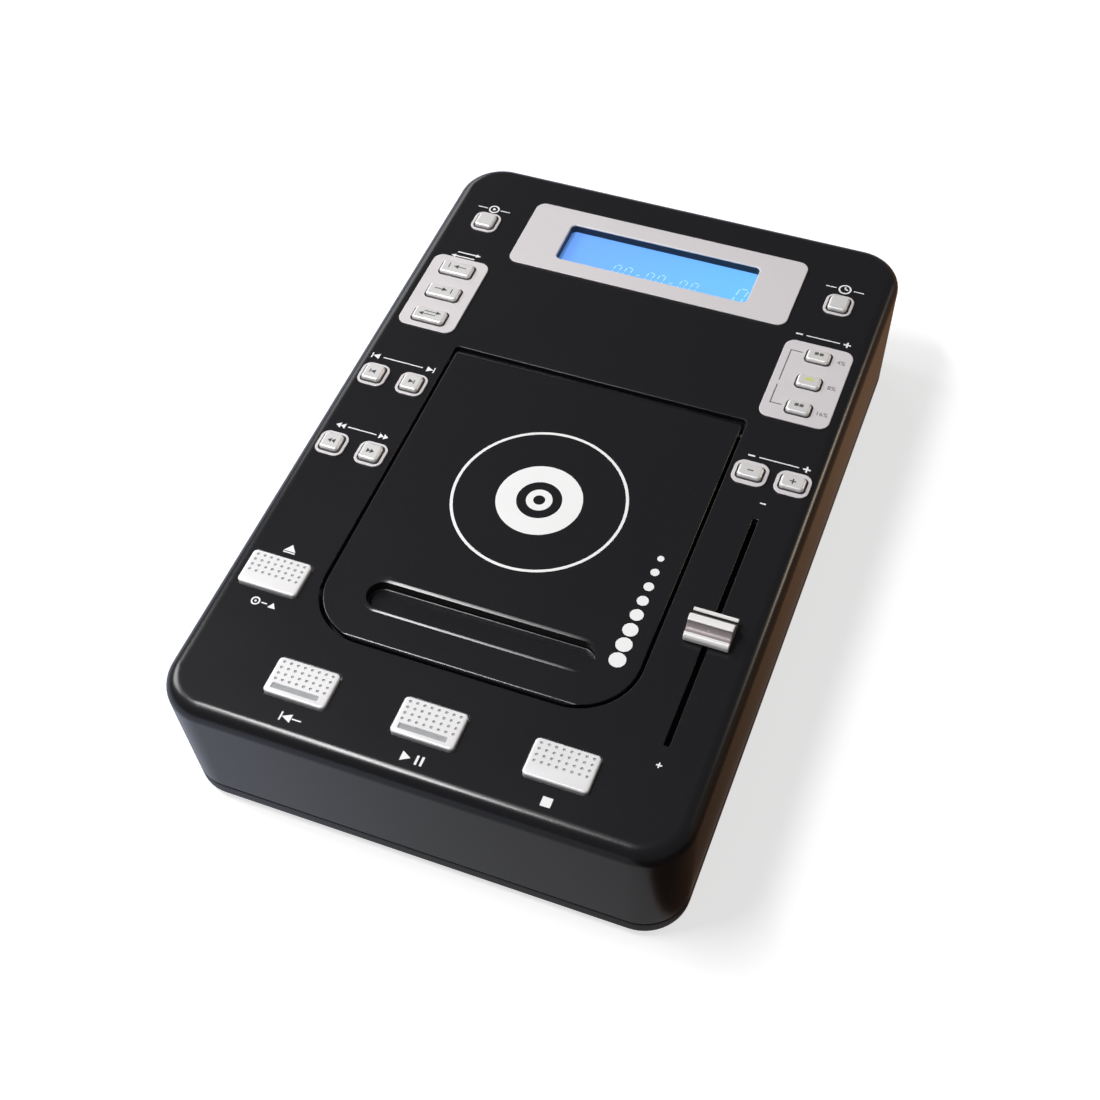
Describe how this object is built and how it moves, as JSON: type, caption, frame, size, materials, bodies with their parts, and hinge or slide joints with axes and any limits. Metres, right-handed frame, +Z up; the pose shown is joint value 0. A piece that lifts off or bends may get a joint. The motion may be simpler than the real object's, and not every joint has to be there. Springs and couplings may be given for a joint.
{
  "type": "disc player",
  "caption": "Flat tabletop disc player for mixing desks, with a hinged disc lid, character display, dimpled keys, small buttons and a long pitch fader.",
  "frame": {"origin": "on the table under the middle of the case's outline", "axes": "+X to the right seen from the user, +Y to the rear where the sockets are, +Z up"},
  "size_m": [0.226, 0.3466, 0.0798],
  "materials": {
    "case_black": "satin moulded",
    "well_black": "matte moulded",
    "silver_trim": "silver paint, satin",
    "button_silver": "silver paint, satin",
    "key_silver": "pale silver, satin",
    "knob_silver": "bright silver",
    "display_blue": "backlit",
    "rubber": "matte",
    "screw_steel": "plated",
    "steel": "ground",
    "bay_steel": "dark paint",
    "frame_plastic": "matte moulded",
    "gear_plastic": "natural",
    "pinion_brass": "turned",
    "board_green": "solder mask",
    "switch_black": "matte",
    "pot_steel": "plated",
    "core_steel": "laminated",
    "socket_black": "satin",
    "jack_metal": "plated",
    "lens_coat": "coated"
  },
  "bodies": {
    "case": {"top_cover": "case_black", "bottom_pan": "case_black", "rubber_feet": "rubber", "case_screws": "screw_steel", "connector_bay": "bay_steel", "mains_plate": "bay_steel", "jack_plate": "bay_steel", "disc_well": "well_black", "lid_hinge_pin": "steel", "lid_spring": "steel", "damper_body": "well_black", "eject_spring": "steel", "mech_chassis": "frame_plastic", "mech_grommets": "rubber", "mech_screws": "screw_steel", "spindle_motor": "steel", "guide_rods": "steel", "sled_motor": "steel", "display_bezel": "silver_trim", "lcd_panel": "display_blue", "display_board": "board_green", "loop_plate": "silver_trim", "pitch_plate": "silver_trim", "button_rings": "silver_trim", "panel_boards": "board_green", "panel_switches": "switch_black", "fader_body": "pot_steel", "main_board": "board_green", "transformer": "core_steel", "mains_inlet": "socket_black", "power_switch": "socket_black", "audio_jacks": "jack_metal"},
    "lid": {"disc_lid": "case_black", "lid_gear": "gear_plastic"},
    "damper": {"damper_pinion": "gear_plastic"},
    "latch": {"lid_latch": "gear_plastic"},
    "eject": {"eject_key": "key_silver"},
    "turntable": {"turntable": "well_black"},
    "sled": {"pickup_sled": "frame_plastic", "pickup_lens": "lens_coat"},
    "sled_gear": {"sled_gear": "gear_plastic"},
    "motor_pinion": {"motor_pinion": "pinion_brass"},
    "fader": {"fader_carriage": "pot_steel", "fader_knob": "knob_silver"},
    "rocker": {"power_rocker": "socket_black"},
    "single_button": {"single_button": "button_silver"},
    "loop_in_button": {"loop_in_button": "button_silver"},
    "loop_out_button": {"loop_out_button": "button_silver"},
    "reloop_button": {"reloop_button": "button_silver"},
    "skip_back_button": {"skip_back_button": "button_silver"},
    "skip_forward_button": {"skip_forward_button": "button_silver"},
    "search_back_button": {"search_back_button": "button_silver"},
    "search_forward_button": {"search_forward_button": "button_silver"},
    "time_button": {"time_button": "button_silver"},
    "pitch_4_button": {"pitch_4_button": "button_silver"},
    "pitch_8_button": {"pitch_8_button": "button_silver"},
    "pitch_16_button": {"pitch_16_button": "button_silver"},
    "bend_minus_button": {"bend_minus_button": "button_silver"},
    "bend_plus_button": {"bend_plus_button": "button_silver"},
    "cue_key": {"cue_key": "key_silver"},
    "play_key": {"play_key": "key_silver"},
    "stop_key": {"stop_key": "key_silver"}
  },
  "joints": [
    {"name": "single_press", "type": "slide", "parent": "case", "child": "single_button", "axis": [0, 0, -1], "range_m": [0, 0.001], "stiffness_N_per_m": 600},
    {"name": "loop_in_press", "type": "slide", "parent": "case", "child": "loop_in_button", "axis": [0, 0, -1], "range_m": [0, 0.001], "stiffness_N_per_m": 600},
    {"name": "loop_out_press", "type": "slide", "parent": "case", "child": "loop_out_button", "axis": [0, 0, -1], "range_m": [0, 0.001], "stiffness_N_per_m": 600},
    {"name": "reloop_press", "type": "slide", "parent": "case", "child": "reloop_button", "axis": [0, 0, -1], "range_m": [0, 0.001], "stiffness_N_per_m": 600},
    {"name": "skip_back_press", "type": "slide", "parent": "case", "child": "skip_back_button", "axis": [0, 0, -1], "range_m": [0, 0.001], "stiffness_N_per_m": 600},
    {"name": "skip_forward_press", "type": "slide", "parent": "case", "child": "skip_forward_button", "axis": [0, 0, -1], "range_m": [0, 0.001], "stiffness_N_per_m": 600},
    {"name": "search_back_press", "type": "slide", "parent": "case", "child": "search_back_button", "axis": [0, 0, -1], "range_m": [0, 0.001], "stiffness_N_per_m": 600},
    {"name": "search_forward_press", "type": "slide", "parent": "case", "child": "search_forward_button", "axis": [0, 0, -1], "range_m": [0, 0.001], "stiffness_N_per_m": 600},
    {"name": "time_press", "type": "slide", "parent": "case", "child": "time_button", "axis": [0, 0, -1], "range_m": [0, 0.001], "stiffness_N_per_m": 600},
    {"name": "pitch_4_press", "type": "slide", "parent": "case", "child": "pitch_4_button", "axis": [0, 0, -1], "range_m": [0, 0.001], "stiffness_N_per_m": 600},
    {"name": "pitch_8_press", "type": "slide", "parent": "case", "child": "pitch_8_button", "axis": [0, 0, -1], "range_m": [0, 0.001], "stiffness_N_per_m": 600},
    {"name": "pitch_16_press", "type": "slide", "parent": "case", "child": "pitch_16_button", "axis": [0, 0, -1], "range_m": [0, 0.001], "stiffness_N_per_m": 600},
    {"name": "bend_minus_press", "type": "slide", "parent": "case", "child": "bend_minus_button", "axis": [0, 0, -1], "range_m": [0, 0.001], "stiffness_N_per_m": 600},
    {"name": "bend_plus_press", "type": "slide", "parent": "case", "child": "bend_plus_button", "axis": [0, 0, -1], "range_m": [0, 0.001], "stiffness_N_per_m": 600},
    {"name": "cue_press", "type": "slide", "parent": "case", "child": "cue_key", "axis": [0, 0, -1], "range_m": [0, 0.001], "stiffness_N_per_m": 800},
    {"name": "play_press", "type": "slide", "parent": "case", "child": "play_key", "axis": [0, 0, -1], "range_m": [0, 0.001], "stiffness_N_per_m": 800},
    {"name": "stop_press", "type": "slide", "parent": "case", "child": "stop_key", "axis": [0, 0, -1], "range_m": [0, 0.001], "stiffness_N_per_m": 800},
    {"name": "eject_press", "type": "slide", "parent": "case", "child": "eject", "axis": [0, 0, -1], "range_m": [0, 0.002], "stiffness_N_per_m": 500, "deforming": ["eject_spring"]},
    {"name": "latch_slide", "type": "slide", "parent": "case", "child": "latch", "axis": [-1, 0, 0], "range_m": [0, 0.002]},
    {"name": "lid_hinge", "type": "hinge", "parent": "case", "child": "lid", "pos_m": [0, 0.04095, 0.0668], "axis": [-1, 0, 0], "range_deg": [0, 80]},
    {"name": "damper_spin", "type": "hinge", "parent": "case", "child": "damper", "pos_m": [0.06375, 0.02586, 0.06131], "axis": [-1, 0, 0], "range_deg": [-241, 1]},
    {"name": "disc_spin", "type": "hinge", "parent": "case", "child": "turntable", "pos_m": [0, -0.02625, 0.06], "axis": [0, 0, 1], "continuous": true},
    {"name": "sled_slide", "type": "slide", "parent": "case", "child": "sled", "axis": [0, -1, 0], "range_m": [0, 0.034]},
    {"name": "sled_gear_spin", "type": "hinge", "parent": "case", "child": "sled_gear", "pos_m": [0.03316, -0.072, 0.042], "axis": [0, 0, 1], "range_deg": [-1, 349]},
    {"name": "motor_pinion_spin", "type": "hinge", "parent": "case", "child": "motor_pinion", "pos_m": [0.04984, -0.08163, 0.04], "axis": [0, 0, 1], "range_deg": [-1045, 1]},
    {"name": "fader_slide", "type": "slide", "parent": "case", "child": "fader", "axis": [0, 1, 0], "range_m": [-0.047, 0.053]},
    {"name": "rocker_tilt", "type": "hinge", "parent": "case", "child": "rocker", "pos_m": [-0.038, 0.15495, 0.037], "axis": [-1, 0, 0], "range_deg": [0, 14]}
  ],
  "couplings": [
    {"joint": "latch_slide", "follows": "eject_press", "ratio": 1},
    {"joint": "damper_spin", "follows": "lid_hinge", "ratio": -3},
    {"joint": "sled_gear_spin", "follows": "sled_slide", "rad_per_m": 178.57},
    {"joint": "motor_pinion_spin", "follows": "sled_slide", "rad_per_m": -535.71}
  ]
}
